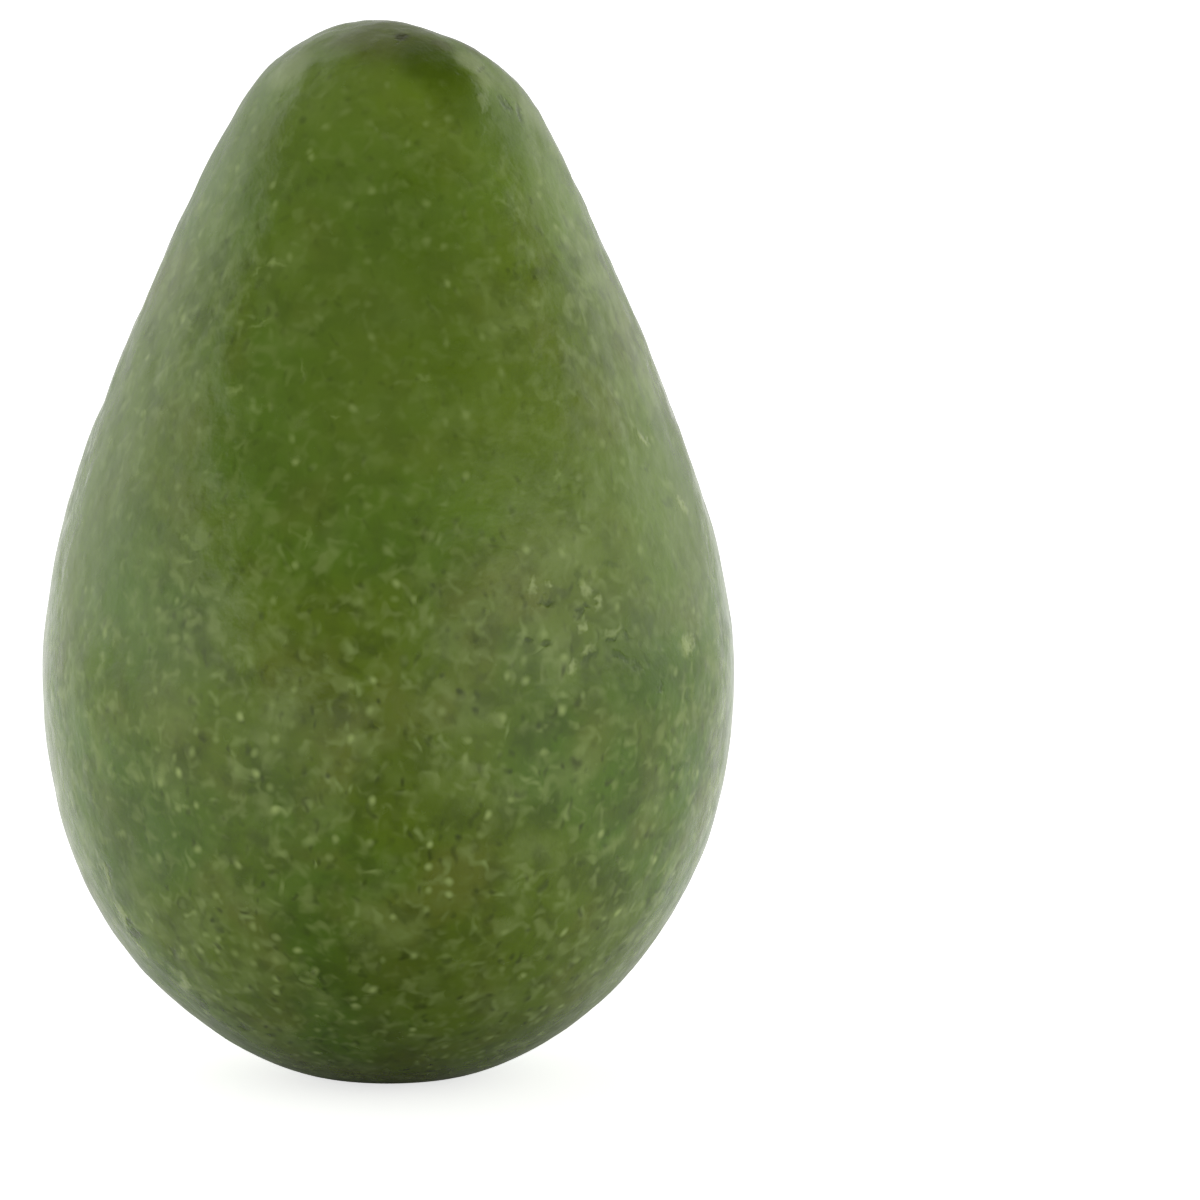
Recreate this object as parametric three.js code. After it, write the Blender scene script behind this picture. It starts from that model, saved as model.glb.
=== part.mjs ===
// A whole green avocado standing on its broad end, and the woody button of its stem.
//
// The fruit grew as one piece, so it is one solid: a pear-shaped body with a small flat spot under it
// and a crown that slopes back and to the right, with a shallow dip where the stem was. The button is
// the swollen end of the stem that stays when the fruit is clipped from the tree. It is a piece of its
// own: its peg stands in a socket in the middle of the dip, and a thumb can flick it out.
//
// Millimetres, +Z up. The origin is the middle of the footprint, on the surface the fruit stands on.
// +X is to the right and +Y to the back of the fruit as it stands.

import * as THREE from "three";

// Body: half the outline, from the flat spot over the belly and the neck to the crown.
const FLAT_RADIUS = 8.5;
const FLAT_EDGE_RISE = THREE.MathUtils.degToRad(9);
const BELLY_RADIUS = 39.3;
const BELLY_HEIGHT = 46.9;
const NECK_RADIUS = 16.7;
const NECK_HEIGHT = 110.5;
const NECK_TAPER = THREE.MathUtils.degToRad(28.4);
const CROWN_HEIGHT = 120;
// How far each end of an outline curve keeps its direction, from the base up.
const REACH = { base: 5.6, underBelly: 36.4, overBelly: 18.9, underNeck: 13.7, overNeck: 9.5, crown: 2.5 };
const DEPTH_SHARE = 0.975; // the body is a little slimmer from front to back
const NECK_SET_BACK = 1.6; // the neck stands behind the middle of the belly
const CORE = new THREE.Vector3(0, 0, 48); // a point well inside that the skin is measured from

// Stem end: where the stem met the fruit and which way it pointed.
const STEM_SITE = { right: 6.2, back: 6.4 };
const STEM_LEAN_RIGHT = THREE.MathUtils.degToRad(25.7);
const STEM_LEAN_BACK = THREE.MathUtils.degToRad(17);
const CROWN_FLATTENING = 1; // how far the crown is worn flat round the stem
const CROWN_EASE = 6; // and over what depth the flat blends into the dome
const DIP_DEPTH = 1.8;
const DIP_FLOOR_RADIUS = 4.9;
const DIP_RIM_RADIUS = 10.5;
const PUCKERS = 9;
const PUCKER_HEIGHT = 0.18; // the folds that the dip's wall is drawn into

// Skin: gentle swells, as hand-picked fruit is never quite round.
const SWELLS = 14;
const SWELL_HEIGHT = 0.04;
const SWELL_LENGTHS = [26, 60];
const SWELL_FREE_HEIGHT = 14; // they fade out over this height above the flat spot
const SEED = 20;

// Stem button and the socket that it stands in.
const GAP = 0.3;
const PEG_RADIUS = 3.1;
const PEG_LENGTH = 1.5;
const BUTTON_RADIUS = 4.3;
const BUTTON_CUT_RADIUS = 2.5;
const BUTTON_RISE = 1.75;
const BUTTON_CUT_DISH = 0.35;
const BUTTON_KNOBS = 0.05; // how uneven its outline is, as a share of its radius

// Mesh fineness.
const SEGMENTS = 84;
const SKIN_RINGS = 40;
const CROWN_RINGS = 9; // these close in evenly on the stem
const CROWN_MARGIN = 1.35; // from this far out, as a share of the dip's rim
const OUTLINE_SAMPLES = 800;
const BUTTON_SEGMENTS = 48;

const smooth = (low, high, x) => THREE.MathUtils.smoothstep(x, low, high);

// A seeded generator of numbers from 0 to 1.
function randomFrom(seed) {
  let state = seed;
  return () => {
    state = (state + 0x6d2b79f5) | 0;
    let t = Math.imul(state ^ (state >>> 15), 1 | state);
    t = (t + Math.imul(t ^ (t >>> 7), 61 | t)) ^ t;
    return ((t ^ (t >>> 14)) >>> 0) / 4294967296;
  };
}

// The outline as one smooth path: x is the radius, y the height.
function bodyOutline() {
  const path = new THREE.Path();
  path.moveTo(FLAT_RADIUS, 0);
  path.bezierCurveTo(
    FLAT_RADIUS + REACH.base * Math.cos(FLAT_EDGE_RISE),
    REACH.base * Math.sin(FLAT_EDGE_RISE),
    BELLY_RADIUS,
    BELLY_HEIGHT - REACH.underBelly,
    BELLY_RADIUS,
    BELLY_HEIGHT,
  );
  path.bezierCurveTo(
    BELLY_RADIUS,
    BELLY_HEIGHT + REACH.overBelly,
    NECK_RADIUS + REACH.underNeck * Math.sin(NECK_TAPER),
    NECK_HEIGHT - REACH.underNeck * Math.cos(NECK_TAPER),
    NECK_RADIUS,
    NECK_HEIGHT,
  );
  path.bezierCurveTo(
    NECK_RADIUS - REACH.overNeck * Math.sin(NECK_TAPER),
    NECK_HEIGHT + REACH.overNeck * Math.cos(NECK_TAPER),
    REACH.crown,
    CROWN_HEIGHT,
    0,
    CROWN_HEIGHT,
  );
  return path;
}

// The outline seen from the core: for an angle from straight up, how far away the skin is.
function outlineFromCore(path) {
  const samples = path
    .getSpacedPoints(OUTLINE_SAMPLES)
    .map((p) => ({
      angle: Math.atan2(p.x, p.y - CORE.z),
      reach: Math.hypot(p.x, p.y - CORE.z),
    }))
    .reverse();
  return (angle) => {
    let high = samples.findIndex((s) => s.angle >= angle);
    if (high < 0) high = samples.length - 1;
    const low = Math.max(high - 1, 0);
    const span = samples[high].angle - samples[low].angle || 1;
    const share = THREE.MathUtils.clamp((angle - samples[low].angle) / span, 0, 1);
    return THREE.MathUtils.lerp(samples[low].reach, samples[high].reach, share);
  };
}

// Swells of the skin: a sum of waves that each run through the body in a direction of their own.
function makeSwells() {
  const random = randomFrom(SEED);
  const waves = Array.from({ length: SWELLS }, () => {
    const length = THREE.MathUtils.lerp(SWELL_LENGTHS[0], SWELL_LENGTHS[1], random());
    const run = new THREE.Vector3(random() - 0.5, random() - 0.5, random() - 0.5)
      .normalize()
      .multiplyScalar((2 * Math.PI) / length);
    return { run, start: 2 * Math.PI * random() };
  });
  return (p) =>
    waves.reduce((sum, w) => sum + SWELL_HEIGHT * Math.sin(w.run.dot(p) + w.start), 0);
}

const path = bodyOutline();
const outlineReach = outlineFromCore(path);
const swell = makeSwells();

// The stem's direction, and the direction from the core to where it stood.
const stemAxis = new THREE.Vector3(
  Math.sin(STEM_LEAN_RIGHT) * Math.cos(STEM_LEAN_BACK),
  Math.sin(STEM_LEAN_BACK),
  Math.cos(STEM_LEAN_RIGHT) * Math.cos(STEM_LEAN_BACK),
);
const domeHeight = outlineReach(
  Math.atan2(Math.hypot(STEM_SITE.right, STEM_SITE.back), CROWN_HEIGHT - CORE.z),
);
const stemWay = new THREE.Vector3(
  STEM_SITE.right,
  STEM_SITE.back,
  Math.sqrt(domeHeight ** 2 - STEM_SITE.right ** 2 - STEM_SITE.back ** 2),
).normalize();
// The easing alone takes a quarter of its depth off where the dome and the plane meet.
const crownPlaneReach = domeHeight * stemWay.dot(stemAxis) + CROWN_EASE / 4 - CROWN_FLATTENING;

// The smaller of the dome and the crown's plane, eased where they meet.
function flattened(dome, way) {
  const facing = way.dot(stemAxis);
  if (facing <= 0) return dome;
  const plane = crownPlaneReach / facing;
  const share = THREE.MathUtils.clamp(0.5 + (plane - dome) / (2 * CROWN_EASE), 0, 1);
  return THREE.MathUtils.lerp(plane, dome, share) - CROWN_EASE * share * (1 - share);
}

// The skin in a direction from the core, before the dip is pressed in.
function skinAt(way) {
  const dome = outlineReach(Math.acos(THREE.MathUtils.clamp(way.z, -1, 1)));
  const reach = flattened(dome, way);
  const p = way.clone().multiplyScalar(reach);
  const height = p.z + CORE.z;
  p.multiplyScalar(1 + (swell(p) * smooth(0, SWELL_FREE_HEIGHT, height)) / reach);
  p.y *= DEPTH_SHARE;
  p.add(CORE);
  p.y += NECK_SET_BACK * smooth(BELLY_HEIGHT, NECK_HEIGHT, p.z);
  return p;
}

// The stem end's own frame: +Z along the stem, from the skin at its middle.
const stemFrame = new THREE.Object3D();
stemFrame.position.copy(skinAt(stemWay));
stemFrame.quaternion.setFromUnitVectors(new THREE.Vector3(0, 0, 1), stemAxis);
stemFrame.updateMatrixWorld();

// Presses the dip into the crown, with its puckered rim.
function withDip(point) {
  const p = stemFrame.worldToLocal(point.clone());
  const away = Math.hypot(p.x, p.y);
  if (p.z < -DIP_RIM_RADIUS || away > DIP_RIM_RADIUS) return point;
  const pressed = 1 - smooth(DIP_FLOOR_RADIUS, DIP_RIM_RADIUS, away);
  const pucker = PUCKER_HEIGHT * 4 * pressed * (1 - pressed) * Math.cos(PUCKERS * Math.atan2(p.y, p.x));
  p.z = THREE.MathUtils.lerp(p.z, -DIP_DEPTH, pressed) + pucker;
  return stemFrame.localToWorld(p);
}

// Turns a direction towards the stem: fully at the crown, and not at all at the base.
const up = new THREE.Vector3(0, 0, 1);
const towardsStem = new THREE.Quaternion().setFromUnitVectors(up, stemWay);
function aimed(angle, turn) {
  const way = new THREE.Vector3(
    Math.sin(angle) * Math.cos(turn),
    Math.sin(angle) * Math.sin(turn),
    Math.cos(angle),
  );
  const share = Math.cos(angle / 2) ** 2;
  return way.applyQuaternion(new THREE.Quaternion().slerp(towardsStem, share));
}

// One closed mesh from rings of points, each ring joined to the next and the ends closed by a point.
function closedLoft(bottom, rings, top) {
  const count = rings[0].length;
  const points = [bottom, ...rings.flat(), top];
  const last = points.length - 1;
  const at = (ring, i) => 1 + ring * count + (i % count);
  const faces = [];
  for (let i = 0; i < count; i++) {
    faces.push(0, at(0, i + 1), at(0, i));
    for (let r = 0; r + 1 < rings.length; r++) {
      faces.push(at(r, i), at(r, i + 1), at(r + 1, i + 1));
      faces.push(at(r, i), at(r + 1, i + 1), at(r + 1, i));
    }
    faces.push(last, at(rings.length - 1, i), at(rings.length - 1, i + 1));
  }
  const geometry = new THREE.BufferGeometry().setFromPoints(points);
  geometry.setIndex(faces);
  geometry.computeVertexNormals();
  return geometry;
}

const turnsOf = (count) => Array.from({ length: count }, (_, i) => (2 * Math.PI * i) / count);

// The fruit, from the flat spot up to the dip and down into the button's socket.
function makeFruit() {
  const turns = turnsOf(SEGMENTS);
  const flatRing = turns.map(
    (t) => new THREE.Vector3(FLAT_RADIUS * Math.cos(t), FLAT_RADIUS * DEPTH_SHARE * Math.sin(t), 0),
  );
  // Rings follow the outline until they are close round the stem, and then close in on it evenly.
  const stemReach = stemFrame.position.distanceTo(CORE);
  const socketRadius = PEG_RADIUS + GAP;
  const crownAngle = (CROWN_MARGIN * DIP_RIM_RADIUS) / stemReach;
  const skinAngles = path
    .getSpacedPoints(SKIN_RINGS)
    .map((p) => Math.atan2(p.x, p.y - CORE.z))
    .filter((angle, i) => i > 0 && angle > crownAngle);
  for (let i = 0; i < CROWN_RINGS; i++)
    skinAngles.push(THREE.MathUtils.lerp(crownAngle, socketRadius / stemReach, i / CROWN_RINGS));
  const skinRings = skinAngles.map((angle) => turns.map((t) => withDip(skinAt(aimed(angle, t)))));
  const socketRing = (radius, depth) =>
    turns.map((t) =>
      stemFrame.localToWorld(new THREE.Vector3(radius * Math.cos(t), radius * Math.sin(t), -depth)),
    );
  const socketDepth = DIP_DEPTH + PEG_LENGTH + GAP;
  skinRings.push(socketRing(socketRadius, DIP_DEPTH), socketRing(socketRadius, socketDepth));
  const socketFloor = stemFrame.localToWorld(new THREE.Vector3(0, 0, -socketDepth));
  return closedLoft(new THREE.Vector3(0, 0, 0), [flatRing, ...skinRings], socketFloor);
}

// The button, in the stem's frame: a peg, a knobbly collar on the dip's floor, and a dished cut face.
function makeButton() {
  const random = randomFrom(SEED + 1);
  const knobs = [2, 3, 5].map((count) => ({ count, start: 2 * Math.PI * random() }));
  const outline = (turn) =>
    1 + BUTTON_KNOBS * knobs.reduce((sum, k) => sum + Math.cos(k.count * turn + k.start) / 2, 0);
  const seat = GAP - DIP_DEPTH;
  const crown = BUTTON_RISE - DIP_DEPTH;
  // Each row: radius, height along the stem, and how much of the uneven outline shows.
  const rows = [
    [PEG_RADIUS, -DIP_DEPTH - PEG_LENGTH, 0],
    [PEG_RADIUS, seat, 0],
    [BUTTON_RADIUS * 0.9, seat, 0.6],
    [BUTTON_RADIUS, seat + 0.3, 1],
    [BUTTON_RADIUS * 0.99, seat + 0.75, 1],
    [BUTTON_RADIUS * 0.88, seat + 1.15, 1],
    [BUTTON_RADIUS * 0.74, seat + 1.4, 0.9],
    [BUTTON_CUT_RADIUS * 1.08, crown - 0.2, 0.7],
    [BUTTON_CUT_RADIUS, crown, 0.6],
    [BUTTON_CUT_RADIUS * 0.8, crown - BUTTON_CUT_DISH * 0.4, 0.5],
    [BUTTON_CUT_RADIUS * 0.45, crown - BUTTON_CUT_DISH, 0.3],
  ];
  const rings = rows.map(([radius, height, uneven]) =>
    turnsOf(BUTTON_SEGMENTS).map((t) => {
      const r = radius * THREE.MathUtils.lerp(1, outline(t), uneven);
      return new THREE.Vector3(r * Math.cos(t), r * Math.sin(t), height);
    }),
  );
  const foot = new THREE.Vector3(0, 0, -DIP_DEPTH - PEG_LENGTH);
  const pith = new THREE.Vector3(0, 0, crown - BUTTON_CUT_DISH);
  return closedLoft(foot, rings, pith);
}

function namedMesh(name, geometry, colour, roughness) {
  const material = new THREE.MeshStandardMaterial({ color: colour, roughness, metalness: 0 });
  const mesh = new THREE.Mesh(geometry, material);
  mesh.name = name;
  return mesh;
}

const fruit = namedMesh("fruit", makeFruit(), "#566a2a", 0.45);
const button = namedMesh("stem_button", makeButton(), "#7a6540", 0.8);
button.position.copy(stemFrame.position);
button.quaternion.copy(stemFrame.quaternion);

// The middle of the footprint is the origin.
const avocado = new THREE.Group();
avocado.add(fruit, button);
const middle = new THREE.Box3().setFromObject(fruit).getCenter(new THREE.Vector3());
avocado.position.set(-middle.x, -middle.y, 0);

export default avocado;
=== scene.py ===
# A whole green avocado that stands on its broad end, with the button of its stem in its crown.
# Lengths are in metres unless a name ends in _MM. +Z is up, +X to the right and +Y to the back.

import math

import bpy
import numpy as np
from mathutils import Matrix, Vector


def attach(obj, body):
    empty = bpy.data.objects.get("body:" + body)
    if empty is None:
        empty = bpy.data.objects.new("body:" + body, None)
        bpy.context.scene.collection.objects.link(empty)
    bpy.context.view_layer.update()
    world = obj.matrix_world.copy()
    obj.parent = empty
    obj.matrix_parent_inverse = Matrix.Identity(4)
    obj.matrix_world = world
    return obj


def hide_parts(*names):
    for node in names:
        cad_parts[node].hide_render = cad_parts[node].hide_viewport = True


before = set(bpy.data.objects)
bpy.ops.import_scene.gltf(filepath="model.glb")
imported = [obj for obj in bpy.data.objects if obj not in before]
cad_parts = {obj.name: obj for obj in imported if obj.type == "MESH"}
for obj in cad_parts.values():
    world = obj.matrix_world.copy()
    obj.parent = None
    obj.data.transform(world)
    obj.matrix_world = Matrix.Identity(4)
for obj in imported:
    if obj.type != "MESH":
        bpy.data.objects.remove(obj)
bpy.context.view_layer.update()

# --- Fruit: the body under its skin ---------------------------------------------------------------
# One fruit of a smooth-skinned, pear-shaped kind, picked firm. It grew as one piece, so its skin is
# one closed surface: drawn smooth over the swells of the flesh, finely pebbled, flat where it stands,
# and pulled in round the stem.

MM = 0.001
STEM_SEAT = Vector((6.04, 7.68, 116.73)) * MM
STEM_AXIS = Vector((0.41471, 0.29237, 0.8617)).normalized()
CROWN_SHOULDER = Vector((6.0, -1.5, 117.5)) * MM
CROWN_RIDGE = Vector((9.8, -9.0, 113.4)) * MM
BLOSSOM_SCAR = Vector((-9.5, 8.0, 0.9)) * MM
SCAR_RADIUS = 3.2 * MM
SCAR_DEPTH_MM = 0.45
WELD = 0.001 * MM


def merged_copy(node, name):
    """A piece that starts from a CAD node's own mesh, with its loose triangles joined up."""
    bpy.ops.object.select_all(action="DESELECT")
    piece = bpy.data.objects.new(name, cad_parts[node].data.copy())
    bpy.context.collection.objects.link(piece)
    piece.data.materials.clear()
    piece.select_set(True)
    bpy.context.view_layer.objects.active = piece
    bpy.ops.object.mode_set(mode="EDIT")
    bpy.ops.mesh.select_all(action="SELECT")
    bpy.ops.mesh.remove_doubles(threshold=WELD)
    bpy.ops.mesh.tris_convert_to_quads(face_threshold=math.radians(50), shape_threshold=math.radians(70))
    bpy.ops.mesh.normals_make_consistent(inside=False)
    bpy.ops.object.mode_set(mode="OBJECT")
    return piece


def smoothed(piece, levels):
    """Rounds a piece off with subdivision surfaces, as many levels in the view as in the render."""
    modifier = piece.modifiers.new("round_off", "SUBSURF")
    modifier.levels = levels
    modifier.render_levels = levels
    bpy.ops.object.modifier_apply(modifier=modifier.name)
    bpy.ops.object.shade_smooth()


def vertex_places(piece):
    """Where each vertex of a piece is, one row of x, y and z for each."""
    places = np.empty(len(piece.data.vertices) * 3)
    piece.data.vertices.foreach_get("co", places)
    return places.reshape(-1, 3)


def ease(low, high, values):
    """Shares that go smoothly from 0 at low to 1 at high."""
    share = np.clip((values - low) / (high - low), 0, 1)
    return share * share * (3 - 2 * share)


def weigh(piece, name, weights):
    """Gives a piece a group of vertices with these weights."""
    group = piece.vertex_groups.new(name=name)
    for index, weight in enumerate(weights):
        group.add([index], float(weight), "REPLACE")


def relief(piece, height_mm, group, grain_mm=None):
    """Raises a group of vertices by height_mm, evenly or in clouds as wide as the grain."""
    modifier = piece.modifiers.new("relief", "DISPLACE")
    modifier.strength = height_mm * MM
    modifier.mid_level = 0.5 if grain_mm else 0
    modifier.vertex_group = group
    if grain_mm:
        modifier.texture = bpy.data.textures.new(f"{piece.name}_clouds", type="CLOUDS")
        modifier.texture.noise_scale = grain_mm * MM
        modifier.texture_coords = "LOCAL"
    bpy.ops.object.modifier_apply(modifier=modifier.name)


fruit = merged_copy("fruit", "avocado_skin")
smoothed(fruit, 2)
places = vertex_places(fruit)
from_stem, from_shoulder, from_ridge, from_scar = (
    np.linalg.norm(places - np.array(centre), axis=1)
    for centre in (STEM_SEAT, CROWN_SHOULDER, CROWN_RIDGE, BLOSSOM_SCAR)
)
# The flat spot and the dip round the stem keep their own shapes.
off_flat = ease(0.5 * MM, 6 * MM, places[:, 2])
weigh(fruit, "rolling", off_flat * ease(8 * MM, 20 * MM, from_stem))
weigh(fruit, "furrowed", off_flat * ease(40 * MM, 20 * MM, places[:, 2]))
weigh(fruit, "pebbled", off_flat * ease(5 * MM, 10 * MM, from_stem))
weigh(fruit, "necked", ease(5 * MM, 10 * MM, from_stem) * ease(45 * MM, 75 * MM, places[:, 2]))
weigh(fruit, "shouldered", ease(8 * MM, 16 * MM, from_stem + 6 * MM) * ease(11 * MM, 2 * MM, from_shoulder))
weigh(fruit, "ridged", ease(5.5 * MM, 0.5 * MM, from_ridge))
weigh(fruit, "scarred", ease(SCAR_RADIUS, 0.5 * SCAR_RADIUS, from_scar))
# Each relief: its height in mm, where it is, and the width of its grain in mm if it has one.
for height_mm, group, *grain_mm in (
    (0.5, "rolling", 15),
    (0.3, "furrowed", 8),
    (0.3, "necked", 6.5),
    (0.2, "necked", 3),
    (0.18, "shouldered"),
    (0.3, "ridged"),
    (0.09, "pebbled", 4.5),
    (0.05, "pebbled", 2.4),
    (-SCAR_DEPTH_MM, "scarred"),
    (0.25, "scarred", 0.9),
):
    relief(fruit, height_mm, group, *grain_mm)

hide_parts("fruit")
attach(fruit, "root")

# --- Skin ------------------------------------------------------------------------------------------
# A thin leathery rind, grown under its own wax and rubbed to a sheen by handling. It is one with the
# fruit. Its green is mottled and flecked, dotted with the pale corky pores of the tree's fruit, and
# marked where leaves and neighbours rubbed on it as it grew. Over that lie painted light and shade:
# paler where the light falls and shines, darker on the crown, in the creases and low on the belly.


def linear(code):
    """A colour written as sRGB hex, as the linear colour that a shader takes."""
    parts = [int(code[i : i + 2], 16) / 255 for i in (1, 3, 5)]
    return (*[c / 12.92 if c <= 0.04045 else ((c + 0.055) / 1.055) ** 2.4 for c in parts], 1)


def add_node(tree, kind, inputs=None, **settings):
    """Adds a node with its settings; inputs gives each socket a value, or an output to link from."""
    node = tree.nodes.new(kind)
    for name, value in settings.items():
        setattr(node, name, value)
    for name, value in (inputs or {}).items():
        if isinstance(value, bpy.types.NodeSocket):
            tree.links.new(value, node.inputs[name])
        else:
            node.inputs[name].default_value = value
    return node


# Each tone of the flesh green: width of its patches, how broken and how crooked their edges are, where
# they fall, how much of the skin they leave free, how strong they are, and their colour.
GREEN = "#4d6b0c"
TONES = (
    (26, 1, 0, (0, 0, 0), 0.40, 0.60, 0.8, "#5b6f0c"),
    (11, 3, 0, (31, 7, 3), 0.46, 0.72, 0.55, "#676b28"),
    (9, 2, 0, (7, 70, 3), 0.44, 0.70, 0.35, "#3c4b02"),
    (6, 3, 0.2, (3, 12, 60), 0.46, 0.76, 0.68, "#728540"),
    (3.4, 3, 0.3, (5, 40, 11), 0.44, 0.72, 0.45, "#364503"),
    (2.0, 1, 0.5, (50, 4, 19), 0.48, 0.78, 0.62, "#7d8e4b"),
)
# Painted light: paler green where the light falls brightest on the right side and the crown, and painted
# sheen on the right of the belly and the right edge of the neck: where, how far it holds, where it ends, its
# strength and colour.
PAINTED_LIGHT_SIDES = (
    ((22.0, -25.0, 72.0), 6, 30, 0.55, "#6f8820"),
    ((22.0, -8.0, 98.0), 6, 24, 0.55, "#738c24"),
    ((3.0, -5.0, 117.0), 8, 22, 0.55, "#768f2c"),
    ((17.5, -31.8, 61.0), 3, 10, 0.5, "#8b9a50"),
    ((29.0, -6.0, 83.0), 2, 12, 0.45, "#93a060"),
)
# Sides where the pattern is livelier or fainter: where, how far it is so, where that ends, and how much
# more there is of it.
LIVELY = (
    ((-19.0, -9.0, 86.0), 8, 24, 0.35),
    ((19.0, -8.0, 86.0), 8, 24, 0.6),
    ((-34.0, -14.0, 50.0), 8, 26, -0.5),
    ((32.0, -14.0, 62.0), 6, 20, -0.4),
    ((-33.0, -10.0, 24.0), 8, 26, -0.6),
)
# Each kind of fleck: how far apart they lie, their radius, how long drawn they are, how far they lean
# with the pull of the flesh, where they fall, the share that shows, how strong they are, and their
# colour.
FLECKS = (
    (1.5, 0.66, (1, 1, 1.8), 1, (0, 0, 0), 0.7, 0.60, "#333f01"),
    (1.8, 0.74, (1, 1, 2.3), 1, (9, 4, 2), 0.6, 0.7, "#81944f"),
    (1.8, 0.70, (1.9, 1.9, 1), 1, (4, 14, 7), 0.6, 0.65, "#81944f"),
    (1.8, 0.66, (1, 1.9, 1.7), 1, (7, 1, 17), 0.5, 0.50, "#2d3a03"),
    (2.1, 0.72, (1, 1, 1.15), 0.3, (1, 2, 3), 0.6, 0.85, "#96a860"),
    (1.8, 0.52, (1, 1, 1.3), 0.4, (1.45, 2.1, 2.5), 0.3, 0.55, "#283306"),
    (7.0, 0.75, (1, 1, 3.2), 1, (2, 5, 1), 0.5, 0.70, "#2c370a"),
)
# Where the pattern is faintest and where it is liveliest: the height in mm, and how lively it is.
NECK_MM, NECK_LIVELY = 82, 0.38
BELLY_MM, BELLY_LIVELY = 38, 1.5
# What the skin is tinted with where it has no pattern, and how strongly.
QUIET_TONE = "#6a7a28"
QUIET_SHARE = 0.25
# How far, in mm, the flecks lean with the pull of the flesh and wriggle, and how far the marks wriggle
# and fray.
PULL_MM = 4
WRIGGLE_MM = 1
MARK_WRIGGLE_MM = 0.6
MARK_FRAY_MM = 0.35
# How much of the flecks shows where the pattern is at rest, how much more where it is lively, and how much
# of them is left on the flanks.
SHOWING_LEAST = 0.34
SHOWING_MORE = 0.7
RUBBED_SHARE = 0.55
# Marks where twigs and neighbours pressed and rubbed, as seen from the front: x and z of one end, x
# and z of the other, and half the width, in mm. Creases are sunk, and their dark is painted shade;
# weals are raised, and pale partly with scuffed skin and partly with painted highlight on their lips;
# the faint ones healed over while the fruit was small.
SHADED_CREASES = (
    (20.8, 58.1, 20.5, 56.5, 0.40),
    (20.8, 58.1, 22.1, 57.6, 0.35),
    (16.2, 58.8, 17.7, 58.5, 0.35),
    (24.9, 54.3, 23.7, 53.4, 0.40),
    (25.5, 54.5, 26.7, 53.5, 0.40),
    (22.2, 53.0, 21.3, 51.5, 0.55),
    (24.1, 52.5, 26.4, 51.4, 0.35),
    (26.4, 51.4, 27.6, 49.8, 0.45),
    (15.1, 54.9, 15.1, 54.1, 0.45),
    (16.5, 53.7, 17.7, 53.7, 0.40),
    (30.0, 48.2, 29.9, 47.1, 0.40),
    (-31.9, 27.4, -31.3, 25.6, 0.45),
    (-29.3, 20.9, -28.8, 19.7, 0.45),
    (-28.7, 19.5, -27.7, 18.7, 0.55),
    (-24.7, 18.4, -23.7, 17.0, 0.50),
    (-21.2, 11.1, -20.9, 10.4, 0.40),
    (-17.0, 9.0, -15.7, 8.0, 0.60),
    (1.6, 118.7, 1.8, 118.3, 0.45),
    (12.6, 112.2, 13.8, 109.7, 0.40),
    (14.4, 111.2, 15.3, 108.7, 0.40),
    (10.2, 115.2, 10.6, 114.8, 0.40),
)
WEALS_WITH_HIGHLIGHT = (
    (23.1, 58.8, 22.7, 57.3, 0.40),
    (21.2, 56.0, 21.1, 54.9, 0.40),
    (21.5, 60.0, 21.5, 58.8, 0.55),
    (15.8, 61.2, 15.5, 59.4, 0.40),
    (17.2, 60.4, 17.5, 60.2, 0.50),
    (25.3, 55.4, 23.3, 53.8, 0.45),
    (22.1, 53.5, 21.0, 52.6, 0.55),
    (20.2, 52.0, 19.9, 50.7, 0.45),
    (32.9, 53.3, 33.1, 50.2, 0.45),
    (-32.6, 28.7, -31.0, 23.8, 0.35),
    (-31.0, 23.8, -29.3, 18.9, 0.35),
    (-29.3, 18.9, -26.9, 15.7, 0.35),
    (-23.1, 15.2, -22.8, 12.0, 0.50),
    (10.6, 112.7, 10.8, 110.3, 0.50),
    (27.7, 75.3, 28.9, 73.2, 0.30),
    (31.9, 67.9, 33.2, 65.7, 0.35),
)
FAINT_SHADED_CREASES = (
    (28.2, 71.4, 29.2, 70.8, 0.35),
    (30.7, 67.7, 31.3, 66.9, 0.40),
    (21.4, 70.1, 21.6, 69.0, 0.35),
    (20.6, 61.8, 20.4, 59.5, 0.35),
    (22.6, 62.1, 26.2, 61.5, 0.30),
    (27.0, 59.7, 29.7, 59.1, 0.35),
)
FAINT_WEALS_WITH_HIGHLIGHT = (
    (30.0, 70.2, 31.8, 68.3, 0.40),
    (18.7, 72.4, 18.0, 70.8, 0.30),
    (20.9, 66.2, 21.8, 65.7, 0.35),
    (-23.2, 62.5, -20.3, 62.7, 0.30),
    (-22.6, 65.4, -21.8, 64.2, 0.25),
    (-21.8, 64.2, -20.5, 64.1, 0.35),
    (-14.9, 93.0, -13.4, 94.2, 0.25),
    (-13.4, 94.2, -10.8, 94.3, 0.25),
    (-15.6, 87.2, -12.5, 88.2, 0.25),
    (-17.7, 80.9, -15.7, 81.1, 0.25),
    (-6.0, 78.2, -4.6, 78.3, 0.25),
    (-9.3, 84.5, -9.2, 82.3, 0.25),
    (3.1, 82.4, 5.3, 82.6, 0.25),
    (-9.1, 64.6, -8.7, 67.3, 0.30),
)
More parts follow.
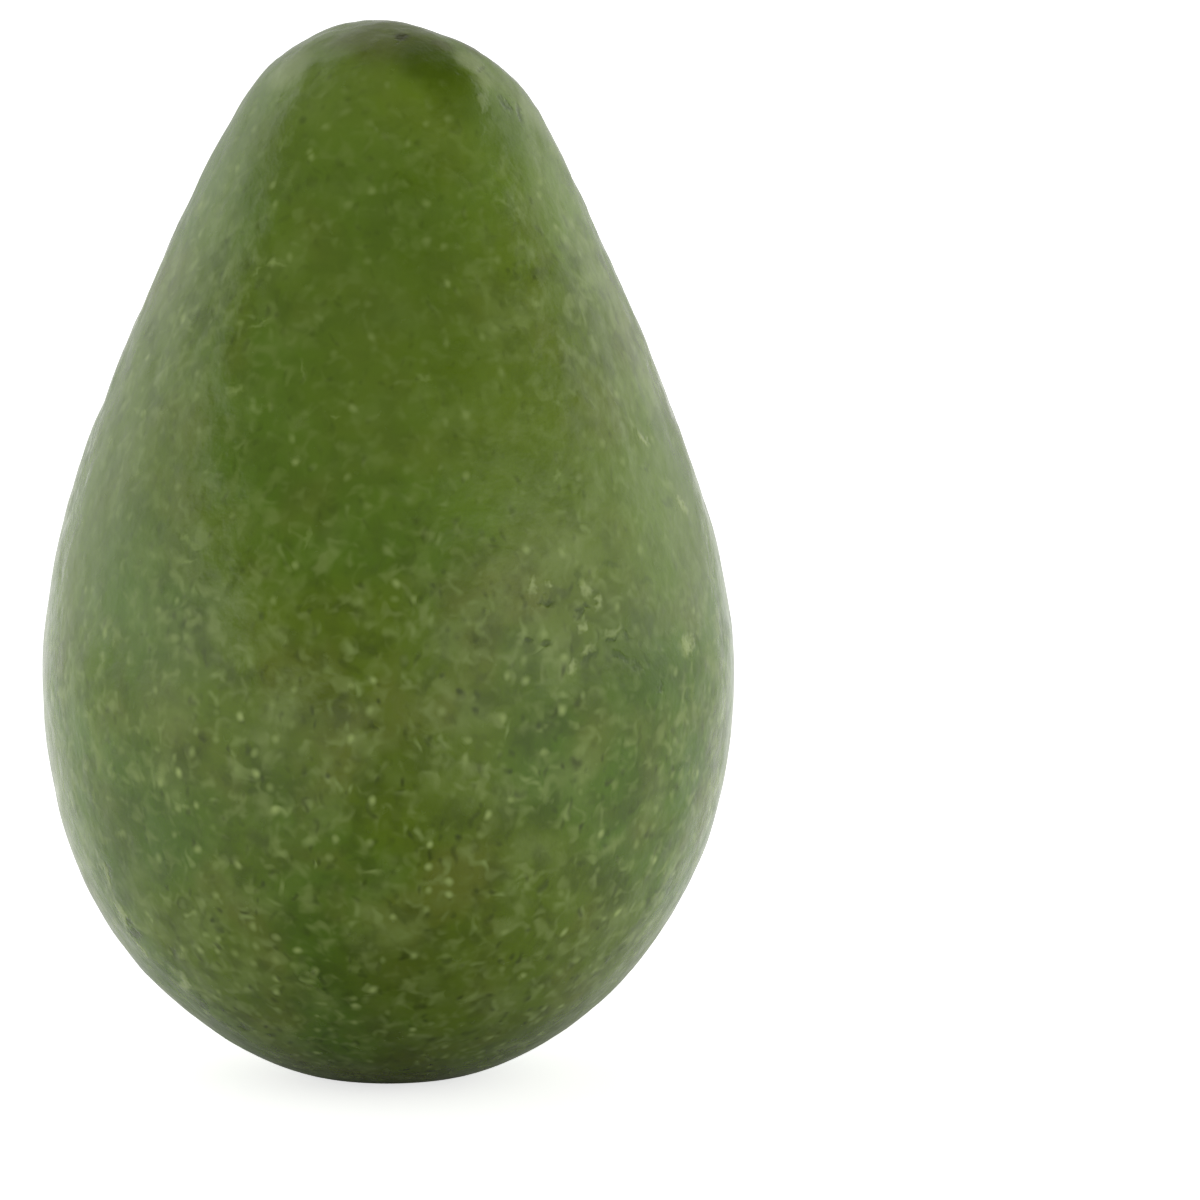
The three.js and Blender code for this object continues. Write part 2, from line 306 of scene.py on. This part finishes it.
# Places with a tone of their own, and places of painted light and shade: where, how far it holds, where it
# ends, its strength and colour.
PATCHES_AND_PAINTED_LIGHT = (
    # Painted shade on the crown in front of the stem and over its top, where the wax reflects no light.
    ((0.5, -5.5, 118.5), 3, 8, 0.5, "#4e4f10"),
    ((4.8, -9.3, 115.7), 2, 5.5, 0.65, "#3c4f03"),
    ((8.0, -11.6, 112.0), 1.5, 5, 0.55, "#455a05"),
    # Darker green just behind the stem.
    ((8.5, 3.0, 116.0), 4, 8, 0.6, "#415304"),
    # Painted highlight: pale reflections on the crown's rims, right of the dark patch and at the left.
    ((9.3, -6.9, 115.7), 1, 2.6, 0.5, "#93a064"),
    ((10.6, -8.2, 113.6), 0.5, 1.8, 0.35, "#93a064"),
    ((-10.9, -6.0, 115.0), 1.5, 4, 0.45, "#93a06c"),
    # Grey-brown mottling and small dark spots on the crown.
    ((1.7, -6.0, 118.4), 0.3, 1.3, 0.75, "#35380a"),
    ((6.2, -6.0, 117.5), 0.5, 2.0, 0.4, "#55512a"),
    ((9.6, -3.2, 116.9), 0.5, 2.2, 0.4, "#55512a"),
    ((-5.0, -5.5, 118.0), 0.5, 3.0, 0.35, "#59602b"),
    ((-9.3, -12.7, 109.6), 0.1, 0.8, 0.5, "#344504"),
    # Painted shade at the right of the crown, and painted highlight along its rim beyond.
    ((12.9, -10.3, 109.3), 2, 6, 0.35, "#435e05"),
    ((16.2, -5.2, 110.6), 0.3, 2.8, 0.25, "#a3ae80"),
    ((17.2, -2.6, 108.9), 0.3, 3.2, 0.22, "#a3ae80"),
    ((18.9, -0.6, 105.4), 0.2, 3.0, 0.16, "#a3ae80"),
    # Darker green low on the right of the belly, partly the skin's own and partly painted shade; a painted
    # highlight on the left of the belly; and painted shade low on the left.
    ((27.0, -27.0, 51.0), 3, 10, 0.4, "#3f5a10"),
    ((-24.4, -30.2, 46.9), 2, 6, 0.3, "#7d8c4d"),
    ((-26.0, -26.5, 33.0), 3, 9, 0.3, "#3f5307"),
    ((-30.5, -19.0, 26.0), 2, 8, 0.3, "#3f5307"),
)
RUSSET = (tuple(STEM_SEAT / MM), 4.6, 7.5, 0.8, "#6f6636")
SCAR = (tuple(BLOSSOM_SCAR / MM), 2.2, 3.6, 0.95, "#5f4f2e")
# How much of the way from where a place holds to where it ends its edge wanders.
RAGGED_SHARE = 0.5
# Longer than the fruit is deep, so that a mark runs right through it.
THROUGH_MM = 1000
# The unevenness of the wax: how high its fine ripples and its waves are, and how rough it gets.
RIPPLE_MM = 0.02
WAVE_MM = 0.15
SMOOTHEST_WAX = 0.18
ROUGHEST_WAX = 0.28
WAX_IOR = 1.38

rind = bpy.data.materials.new("waxy_fruit_skin")
rind.use_nodes = True
tree = rind.node_tree
tree.nodes.clear()
# Places are in mm from here on, so a scale of 1 / 8 is a pattern 8 mm wide.
place = add_node(tree, "ShaderNodeTexCoord").outputs["Object"]
mm = add_node(tree, "ShaderNodeVectorMath", {0: place, "Scale": 1 / MM}, operation="SCALE").outputs[0]
up_mm = add_node(tree, "ShaderNodeSeparateXYZ", {0: mm}).outputs[2]
fine = add_node(tree, "ShaderNodeTexNoise", {"Vector": mm, "Scale": 1 / 0.9, "Detail": 2}).outputs[0]
ragged = add_node(tree, "ShaderNodeTexNoise", {"Vector": mm, "Scale": 1 / 2.5, "Detail": 3}).outputs[0]


def tinted(tree, colour, places):
    """The colour with a tone round each of the places, its own or painted light and shade, out to a ragged
    edge.
    """
    for centre, inner, outer, share, tone in places:
        inputs = {0: mm, 1: centre}
        away = add_node(tree, "ShaderNodeVectorMath", inputs, operation="DISTANCE").outputs["Value"]
        wander = RAGGED_SHARE * (outer - inner)
        inputs = {0: ragged, 1: wander, 2: away}
        away = add_node(tree, "ShaderNodeMath", inputs, operation="MULTIPLY_ADD").outputs[0]
        shift = 0.5 * wander
        inputs = {"Value": away, "From Min": outer + shift, "From Max": inner + shift, "To Max": share}
        held = add_node(tree, "ShaderNodeMapRange", inputs, interpolation_type="SMOOTHSTEP").outputs[0]
        inputs = {0: held, 6: colour, 7: linear(tone)}
        colour = add_node(tree, "ShaderNodeMix", inputs, data_type="RGBA").outputs[2]
    return colour


# The flesh green with the painted light on its sides.
ground = tinted(tree, linear(GREEN), PAINTED_LIGHT_SIDES)
green = ground
for width, detail, crook, offset, start, full, share, tone in TONES:
    where = add_node(tree, "ShaderNodeMapping", {"Vector": mm, "Location": offset}).outputs[0]
    inputs = {"Vector": where, "Scale": 1 / width, "Detail": detail, "Distortion": crook}
    noise = add_node(tree, "ShaderNodeTexNoise", inputs).outputs[0]
    inputs = {"Value": noise, "From Min": start, "From Max": full, "To Max": share}
    patch = add_node(tree, "ShaderNodeMapRange", inputs, interpolation_type="SMOOTHSTEP").outputs[0]
    inputs = {0: patch, 6: green, 7: linear(tone)}
    green = add_node(tree, "ShaderNodeMix", inputs, data_type="RGBA").outputs[2]

# The belly is livelier than the neck, apart from the sides of the neck.
inputs = {
    "Value": up_mm,
    "From Min": NECK_MM,
    "From Max": BELLY_MM,
    "To Min": NECK_LIVELY,
    "To Max": BELLY_LIVELY,
}
vivid = add_node(tree, "ShaderNodeMapRange", inputs, interpolation_type="SMOOTHSTEP").outputs[0]
for centre, inner, outer, more in LIVELY:
    away = add_node(tree, "ShaderNodeVectorMath", {0: mm, 1: centre}, operation="DISTANCE").outputs["Value"]
    inputs = {"Value": away, "From Min": outer, "From Max": inner, "To Max": more}
    added = add_node(tree, "ShaderNodeMapRange", inputs, interpolation_type="SMOOTHSTEP").outputs[0]
    vivid = add_node(tree, "ShaderNodeMath", {0: vivid, 1: added}, operation="ADD").outputs[0]
inputs = {0: QUIET_SHARE, 6: ground, 7: linear(QUIET_TONE)}
quiet = add_node(tree, "ShaderNodeMix", inputs, data_type="RGBA").outputs[2]
inputs = {0: vivid, 6: quiet, 7: green}
green = add_node(tree, "ShaderNodeMix", inputs, data_type="RGBA").outputs[2]

# The flecks lean this way and that, along the pull of the growing flesh, and wriggle a little.
pull = add_node(tree, "ShaderNodeTexNoise", {"Vector": mm, "Scale": 1 / 8, "Detail": 0}).outputs["Color"]
inputs = {"Vector": mm, "Scale": 1 / 1.8, "Detail": 0}
wriggle = add_node(tree, "ShaderNodeTexNoise", inputs, normalize=False).outputs["Color"]
inputs = {0: pull, 1: (PULL_MM,) * 3, 2: mm}
leaning = add_node(tree, "ShaderNodeVectorMath", inputs, operation="MULTIPLY_ADD").outputs[0]
inputs = {0: wriggle, 1: (WRIGGLE_MM,) * 3, 2: leaning}
leaning = add_node(tree, "ShaderNodeVectorMath", inputs, operation="MULTIPLY_ADD").outputs[0]
inputs = {0: vivid, 1: SHOWING_MORE, 2: SHOWING_LEAST}
showing = add_node(tree, "ShaderNodeMath", inputs, operation="MULTIPLY_ADD").outputs[0]
# Leaves and hands have rubbed them fainter on the two flanks than at the front and the back.
level = add_node(tree, "ShaderNodeVectorMath", {0: mm, 1: (1, 1, 0)}, operation="MULTIPLY").outputs[0]
level = add_node(tree, "ShaderNodeVectorMath", {0: level}, operation="NORMALIZE").outputs[0]
facing = add_node(tree, "ShaderNodeSeparateXYZ", {0: level}).outputs[1]
facing = add_node(tree, "ShaderNodeMath", {0: facing}, operation="ABSOLUTE").outputs[0]
inputs = {"Value": facing, "From Min": 0.3, "From Max": 0.9, "To Min": RUBBED_SHARE, "To Max": 1}
rubbed = add_node(tree, "ShaderNodeMapRange", inputs, interpolation_type="SMOOTHSTEP").outputs[0]
showing = add_node(tree, "ShaderNodeMath", {0: showing, 1: rubbed}, operation="MULTIPLY").outputs[0]
for apart, radius, drawn, wander, offset, kept, share, tone in FLECKS:
    inputs = {0: wander, 4: mm, 5: leaning}
    led = add_node(tree, "ShaderNodeMix", inputs, data_type="VECTOR").outputs[1]
    inputs = {"Vector": led, "Location": offset, "Scale": drawn}
    where = add_node(tree, "ShaderNodeMapping", inputs, vector_type="TEXTURE").outputs[0]
    cells = add_node(tree, "ShaderNodeTexVoronoi", {"Vector": where, "Scale": 1 / apart})
    chance = add_node(tree, "ShaderNodeSeparateColor", {0: cells.outputs["Color"]}).outputs[0]
    inputs = {"Value": chance, "From Min": 1 - kept, "From Max": 1}
    shown = add_node(tree, "ShaderNodeMapRange", inputs).outputs[0]
    near = cells.outputs["Distance"]
    inputs = {"Value": near, "From Min": radius / apart, "From Max": 0, "To Max": 1}
    spot = add_node(tree, "ShaderNodeMapRange", inputs, interpolation_type="SMOOTHSTEP").outputs[0]
    fleck = add_node(tree, "ShaderNodeMath", {0: spot, 1: shown}, operation="MULTIPLY").outputs[0]
    fleck = add_node(tree, "ShaderNodeMath", {0: fleck, 1: showing}, operation="MULTIPLY").outputs[0]
    amount = add_node(tree, "ShaderNodeMath", {0: fleck, 1: share}, operation="MULTIPLY").outputs[0]
    inputs = {0: amount, 6: green, 7: linear(tone)}
    green = add_node(tree, "ShaderNodeMix", inputs, data_type="RGBA").outputs[2]

# The marks run through from the front to the back, a little crooked, and fade towards their edges.
inputs = {0: wriggle, 1: (MARK_WRIGGLE_MM,) * 3, 2: mm}
crooked = add_node(tree, "ShaderNodeVectorMath", inputs, operation="MULTIPLY_ADD").outputs[0]
inputs = {"Vector": mm, "Scale": 1 / 0.7, "Detail": 1}
rough = add_node(tree, "ShaderNodeTexNoise", inputs, normalize=False).outputs["Color"]
inputs = {0: rough, 1: (MARK_FRAY_MM,) * 3, 2: crooked}
crooked = add_node(tree, "ShaderNodeVectorMath", inputs, operation="MULTIPLY_ADD").outputs[0]
rise = 0.0
# Each kind of mark: its places, how strong it is, its colour, and how far it stands up in mm, if it does.
KINDS_OF_MARK = (
    # The creases' dark is painted shade; the weals' pale is scuffed skin and painted highlight.
    (FAINT_SHADED_CREASES, 0.45, "#3d5205", 0),
    (FAINT_WEALS_WITH_HIGHLIGHT, 0.4, "#869a50", 0),
    (SHADED_CREASES, 0.75, "#354600", -0.05),
    (WEALS_WITH_HIGHLIGHT, 0.75, "#96a566", 0.05),
)
for marks, share, tone, height in KINDS_OF_MARK:
    depth = 0.0
    for x, z, end_x, end_z, half in marks:
        one = add_node(tree, "ShaderNodeTexGradient", {0: crooked}, gradient_type="SPHERICAL")
        one.texture_mapping.vector_type = "TEXTURE"
        one.texture_mapping.translation = (0.5 * (x + end_x), 0, 0.5 * (z + end_z))
        one.texture_mapping.rotation = (0, math.atan2(z - end_z, end_x - x), 0)
        half_length = 0.5 * math.hypot(end_x - x, end_z - z) + half
        one.texture_mapping.scale = (half_length, THROUGH_MM, 1.5 * half)
        inputs = {0: one.outputs[1], 1: depth}
        depth = add_node(tree, "ShaderNodeMath", inputs, operation="MAXIMUM").outputs[0]
    inputs = {"Value": depth, "From Max": 0.9}
    mark = add_node(tree, "ShaderNodeMapRange", inputs, interpolation_type="SMOOTHSTEP").outputs[0]
    amount = add_node(tree, "ShaderNodeMath", {0: mark, 1: share}, operation="MULTIPLY").outputs[0]
    inputs = {0: amount, 6: green, 7: linear(tone)}
    green = add_node(tree, "ShaderNodeMix", inputs, data_type="RGBA").outputs[2]
    if height:
        inputs = {0: mark, 1: height, 2: rise}
        rise = add_node(tree, "ShaderNodeMath", inputs, operation="MULTIPLY_ADD").outputs[0]

# Last come the places with a tone of their own or with painted light and shade, and the cork that closed
# the skin round the stem and over the scar. What is left of the relief, finer than the mesh, only ripples
# the sheen.
green = tinted(tree, green, (*PATCHES_AND_PAINTED_LIGHT, RUSSET, SCAR))
inputs = {0: fine, 1: RIPPLE_MM, 2: rise}
rise = add_node(tree, "ShaderNodeMath", inputs, operation="MULTIPLY_ADD").outputs[0]
inputs = {0: ragged, 1: WAVE_MM, 2: rise}
rise = add_node(tree, "ShaderNodeMath", inputs, operation="MULTIPLY_ADD").outputs[0]
bump = add_node(tree, "ShaderNodeBump", {"Height": rise, "Strength": 1, "Distance": MM}).outputs[0]
inputs = {
    "Value": ragged,
    "From Min": 0.3,
    "From Max": 0.7,
    "To Min": SMOOTHEST_WAX,
    "To Max": ROUGHEST_WAX,
}
roughness = add_node(tree, "ShaderNodeMapRange", inputs).outputs[0]
inputs = {"Base Color": green, "Roughness": roughness, "IOR": WAX_IOR, "Normal": bump}
wax = add_node(tree, "ShaderNodeBsdfPrincipled", inputs).outputs[0]
add_node(tree, "ShaderNodeOutputMaterial", {"Surface": wax})
fruit.data.materials.append(rind)

# --- Stem button -----------------------------------------------------------------------------------
# The end of the fruit's own stalk, snipped off level with the crown: a short plug that widens to a
# corky collar and is dished where it was cut. It sits in the dip of the crown.

PEG_FOOT = -3.25 * MM
# Radius and height of each turn of the button, from the top of its peg up to the pith in the cut.
TURNS_MM = (
    (3.05, -1.75),
    (3.95, -1.50),
    (4.25, -1.15),
    (4.10, -0.75),
    (3.45, -0.38),
    (2.85, -0.08),
    (2.45, -0.05),
    (2.25, -0.30),
    (1.30, -0.42),
    (0.55, -0.40),
    (0.30, -0.22),
)

bpy.ops.object.select_all(action="DESELECT")
peg_radius = TURNS_MM[0][0] * MM
peg_height = TURNS_MM[0][1] * MM - PEG_FOOT
bpy.ops.mesh.primitive_cylinder_add(
    vertices=32,
    radius=peg_radius,
    depth=peg_height,
    location=(0, 0, PEG_FOOT + 0.5 * peg_height),
)
button = bpy.context.active_object
button.name = "stem_button_cork"
bpy.ops.object.transform_apply(location=True)
bpy.ops.object.mode_set(mode="EDIT")
bpy.ops.mesh.select_mode(type="FACE")
bpy.ops.mesh.select_all(action="DESELECT")
bpy.ops.object.mode_set(mode="OBJECT")
for face in button.data.polygons:
    face.select = face.normal.z > 0.9
bpy.ops.object.mode_set(mode="EDIT")
for (radius, height), (next_radius, next_height) in zip(TURNS_MM, TURNS_MM[1:]):
    step = (0, 0, (next_height - height) * MM)
    bpy.ops.mesh.extrude_region_move(TRANSFORM_OT_translate={"value": step})
    wider = next_radius / radius
    bpy.ops.transform.resize(value=(wider, wider, 1), center_override=(0, 0, next_height * MM))
bpy.ops.mesh.poke()
bpy.ops.object.mode_set(mode="OBJECT")
smoothed(button, 2)
weigh(button, "bark", np.ones(len(button.data.vertices)))
relief(button, 0.5, "bark", 2.2)
relief(button, 0.22, "bark", 0.7)
turn = Vector((0, 0, 1)).rotation_difference(STEM_AXIS).to_matrix().to_4x4()
button.matrix_world = Matrix.Translation(STEM_SEAT) @ turn
bpy.ops.object.transform_apply(location=True, rotation=True, scale=True)
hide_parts("stem_button")
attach(button, "root")

# Dry bark and wood: matt, cracked and grey brown, a paler straw colour in the cut and darker at the pith.
BARK = "#54432a"
WORN_BARK = "#7d6a48"
CUT_WOOD = "#8b7650"
PITH = "#3d2d1b"
CRACK = "#2a2014"
# How wide the patches of grime are, how far apart and how deep the cracks are, and how high the grain is.
GRIME_MM = 1.1
CRACKS_APART_MM = 1.2
CRACK_DEPTH_MM = 0.12
GRAIN_MM = 0.15

stalk = bpy.data.materials.new("dry_cut_stalk")
stalk.use_nodes = True
tree = stalk.node_tree
tree.nodes.clear()
place = add_node(tree, "ShaderNodeTexCoord").outputs["Object"]
mm = add_node(tree, "ShaderNodeVectorMath", {0: place, "Scale": 1 / MM}, operation="SCALE").outputs[0]
inputs = {0: mm, 1: tuple(STEM_SEAT / MM)}
from_seat = add_node(tree, "ShaderNodeVectorMath", inputs, operation="SUBTRACT").outputs[0]
inputs = {0: from_seat, 1: STEM_AXIS}
along = add_node(tree, "ShaderNodeVectorMath", inputs, operation="DOT_PRODUCT").outputs["Value"]
inputs = {0: from_seat, 1: STEM_AXIS}
beside = add_node(tree, "ShaderNodeVectorMath", inputs, operation="CROSS_PRODUCT").outputs[0]
out_mm = add_node(tree, "ShaderNodeVectorMath", {0: beside}, operation="LENGTH").outputs["Value"]
grime = add_node(tree, "ShaderNodeTexNoise", {"Vector": mm, "Scale": 1 / GRIME_MM, "Detail": 4}).outputs[0]
inputs = {"Vector": mm, "Scale": 1 / CRACKS_APART_MM, "Randomness": 1}
cracks = add_node(tree, "ShaderNodeTexVoronoi", inputs, feature="DISTANCE_TO_EDGE")
from_crack = cracks.outputs["Distance"]
wobble = add_node(tree, "ShaderNodeMath", {0: grime, 1: 0.8, 2: out_mm}, operation="MULTIPLY_ADD").outputs[0]
brown = linear(BARK)
# Each tone over the bark: what it follows, where it starts and is full, its strength and colour.
for value, low, high, share, tone in (
    (grime, 0.35, 0.7, 0.8, WORN_BARK),
    (wobble, 3.1, 2.6, 0.85, CUT_WOOD),
    (wobble, 1.3, 0.7, 0.9, PITH),
    (from_crack, 0.09, 0.02, 0.8, CRACK),
):
    inputs = {"Value": value, "From Min": low, "From Max": high, "To Max": share}
    mask = add_node(tree, "ShaderNodeMapRange", inputs, interpolation_type="SMOOTHSTEP").outputs[0]
    inputs = {0: mask, 6: brown, 7: linear(tone)}
    brown = add_node(tree, "ShaderNodeMix", inputs, data_type="RGBA").outputs[2]
inputs = {"Value": from_crack, "From Min": 0, "From Max": 0.12, "To Max": CRACK_DEPTH_MM}
depth = add_node(tree, "ShaderNodeMapRange", inputs).outputs[0]
inputs = {0: grime, 1: GRAIN_MM, 2: depth}
rise = add_node(tree, "ShaderNodeMath", inputs, operation="MULTIPLY_ADD").outputs[0]
bump = add_node(tree, "ShaderNodeBump", {"Height": rise, "Strength": 1, "Distance": MM}).outputs[0]
inputs = {"Base Color": brown, "Roughness": 0.85, "IOR": 1.5, "Normal": bump}
wood = add_node(tree, "ShaderNodeBsdfPrincipled", inputs).outputs[0]
add_node(tree, "ShaderNodeOutputMaterial", {"Surface": wood})
button.data.materials.append(stalk)

# --- Stage -----------------------------------------------------------------------------------------
# A sheet of white paper that runs out of sight, in a dim room with a soft box at each side. The camera
# stands in front of the fruit and a little above it, aimed past its right side.

ELEVATION = math.radians(8)
CAMERA_DISTANCE = 0.75
PIXELS_PER_MM = 8.794
AIM_RIGHT_PX = 211.2
AIM_UP_PX = 54.8
IMAGE_PX = 1200
SENSOR_MM = 36
PAPER_RADIUS = 6
PAPER_SEEN = "#fbfbfa"
PAPER_LIT = "#cbcbc9"
# How strongly the paper glows to the camera, and beside the fruit to the fruit itself.
GLOW_SEEN = 0.7
GLOW_BESIDE = 0.85
BESIDE = 85 * MM
core = Vector((0, 0, 48)) * MM
to_camera = Vector((0, -math.cos(ELEVATION), math.sin(ELEVATION)))
camera_up = Vector((0, math.sin(ELEVATION), math.cos(ELEVATION)))

lens = bpy.data.cameras.new("camera")
lens.sensor_width = SENSOR_MM
lens.lens = SENSOR_MM * CAMERA_DISTANCE / MM * PIXELS_PER_MM / IMAGE_PX
lens.clip_start = 0.01
lens.clip_end = 100
camera = bpy.data.objects.new("camera", lens)
bpy.context.collection.objects.link(camera)
camera.location = core + CAMERA_DISTANCE * to_camera
aim = core + (Vector((1, 0, 0)) * AIM_RIGHT_PX + camera_up * AIM_UP_PX) / PIXELS_PER_MM * MM
camera.rotation_euler = (aim - camera.location).to_track_quat("-Z", "Y").to_euler()
bpy.context.scene.camera = camera

bpy.ops.object.select_all(action="DESELECT")
bpy.ops.mesh.primitive_circle_add(vertices=96, radius=PAPER_RADIUS, fill_type="NGON", location=(0, 0, 0))
floor = bpy.context.active_object
floor.name = "floor"
# Matt paper with light behind it: it reads white all round, and lights the fruit's sides from below.
paper = bpy.data.materials.new("white_paper")
paper.use_nodes = True
paper.node_tree.nodes.clear()
tree = paper.node_tree
seen = add_node(tree, "ShaderNodeLightPath").outputs["Is Camera Ray"]
inputs = {0: seen, 6: linear(PAPER_LIT), 7: linear(PAPER_SEEN)}
white = add_node(tree, "ShaderNodeMix", inputs, data_type="RGBA").outputs[2]
matt = add_node(tree, "ShaderNodeBsdfDiffuse", {"Color": white}).outputs[0]
place = add_node(tree, "ShaderNodeTexCoord").outputs["Object"]
aside = add_node(tree, "ShaderNodeSeparateXYZ", {0: place}).outputs[0]
aside = add_node(tree, "ShaderNodeMath", {0: aside}, operation="ABSOLUTE").outputs[0]
inputs = {"Value": aside, "From Min": 0, "From Max": BESIDE, "To Max": GLOW_BESIDE}
at_sides = add_node(tree, "ShaderNodeMapRange", inputs, interpolation_type="SMOOTHSTEP").outputs[0]
inputs = {0: seen, 2: at_sides, 3: GLOW_SEEN}
strength = add_node(tree, "ShaderNodeMix", inputs, data_type="FLOAT").outputs[0]
lit = add_node(tree, "ShaderNodeEmission", {"Color": (1, 1, 1, 1), "Strength": strength}).outputs[0]
sheet = add_node(tree, "ShaderNodeAddShader", {0: matt, 1: lit}).outputs[0]
add_node(tree, "ShaderNodeOutputMaterial", {"Surface": sheet})
floor.data.materials.append(paper)

# Each light: where it starts and is full in degrees turned to the right from the front, how steeply its
# top slants, where it ends upwards and is full, and its strength. A tilted soft box stands low at the
# left, a wider and dimmer one at the right, and a white wall behind that one.
LIGHTS = (
    (-34, -56, 0.5, -6, -17, 1.6),
    (-12, 58, 0, 38, 16, 1.6),
    (60, 80, -0.6, -19, -27, 1.3),
)
# How much is left of the lights towards their tops, and of those right behind the fruit.
TOP_SHARE = 0.5
BEHIND_SHARE = 0.2
ROOM_GLOW = 0.36
CEILING_GLOW_RIGHT = 0.02
CEILING_GLOW_LEFT = 0.6

world = bpy.data.worlds.new("studio")
bpy.context.scene.world = world
world.use_nodes = True
sky = world.node_tree
sky.nodes.clear()
way = add_node(sky, "ShaderNodeTexCoord").outputs["Generated"]
axes = add_node(sky, "ShaderNodeSeparateXYZ", {0: way}).outputs
ahead = add_node(sky, "ShaderNodeMath", {0: axes[1], 1: -1}, operation="MULTIPLY").outputs[0]
turned = add_node(sky, "ShaderNodeMath", {0: axes[0], 1: ahead}, operation="ARCTAN2").outputs[0]
turned = add_node(sky, "ShaderNodeMath", {0: turned}, operation="DEGREES").outputs[0]
raised = add_node(sky, "ShaderNodeMath", {0: axes[2]}, operation="ARCSINE").outputs[0]
raised = add_node(sky, "ShaderNodeMath", {0: raised}, operation="DEGREES").outputs[0]
light = 0.0
for start, full, slant, top, under, power in LIGHTS:
    inputs = {"Value": turned, "From Min": start, "From Max": full, "To Max": power}
    across = add_node(sky, "ShaderNodeMapRange", inputs, interpolation_type="SMOOTHSTEP").outputs[0]
    inputs = {0: turned, 1: slant, 2: raised}
    edge = add_node(sky, "ShaderNodeMath", inputs, operation="MULTIPLY_ADD").outputs[0]
    inputs = {"Value": edge, "From Min": top, "From Max": under}
    below = add_node(sky, "ShaderNodeMapRange", inputs, interpolation_type="SMOOTHSTEP").outputs[0]
    panel = add_node(sky, "ShaderNodeMath", {0: across, 1: below}, operation="MULTIPLY").outputs[0]
    light = add_node(sky, "ShaderNodeMath", {0: light, 1: panel}, operation="MAXIMUM").outputs[0]
# The lights at the sides are dimmer towards their tops, and so are the walls straight behind the fruit.
behind = add_node(sky, "ShaderNodeMath", {0: turned}, operation="ABSOLUTE").outputs[0]
inputs = {"Value": behind, "From Min": 95, "From Max": 125, "To Min": TOP_SHARE, "To Max": 1}
least = add_node(sky, "ShaderNodeMapRange", inputs, interpolation_type="SMOOTHSTEP").outputs[0]
inputs = {"Value": raised, "From Min": 0, "From Max": 45, "To Min": 1, "To Max": least}
dimming = add_node(sky, "ShaderNodeMapRange", inputs, interpolation_type="SMOOTHSTEP").outputs[0]
light = add_node(sky, "ShaderNodeMath", {0: light, 1: dimming}, operation="MULTIPLY").outputs[0]
inputs = {"Value": behind, "From Min": 100, "From Max": 170, "To Min": 1, "To Max": BEHIND_SHARE}
fall = add_node(sky, "ShaderNodeMapRange", inputs, interpolation_type="SMOOTHSTEP").outputs[0]
# The room is dim, and its ceiling darker still, the more so to the right.
inputs = {
    "Value": axes[0],
    "From Min": 0.35,
    "From Max": -0.7,
    "To Min": CEILING_GLOW_RIGHT,
    "To Max": CEILING_GLOW_LEFT,
}
ceiling = add_node(sky, "ShaderNodeMapRange", inputs).outputs[0]
inputs = {"Value": raised, "From Min": 44, "From Max": 58}
overhead = add_node(sky, "ShaderNodeMapRange", inputs, interpolation_type="SMOOTHSTEP").outputs[0]
inputs = {0: overhead, 2: ROOM_GLOW, 3: ceiling}
room = add_node(sky, "ShaderNodeMix", inputs, data_type="FLOAT").outputs[0]
light = add_node(sky, "ShaderNodeMath", {0: light, 1: fall, 2: room}, operation="MULTIPLY_ADD").outputs[0]
seen = add_node(sky, "ShaderNodeLightPath").outputs["Is Camera Ray"]
strength = add_node(sky, "ShaderNodeMix", {0: seen, 2: light, 3: 1.0}, data_type="FLOAT").outputs[0]
glow = add_node(sky, "ShaderNodeBackground", {"Color": (1, 1, 1, 1), "Strength": strength}).outputs[0]
add_node(sky, "ShaderNodeOutputWorld", {"Surface": glow})
bpy.context.scene.view_settings.view_transform = "Standard"
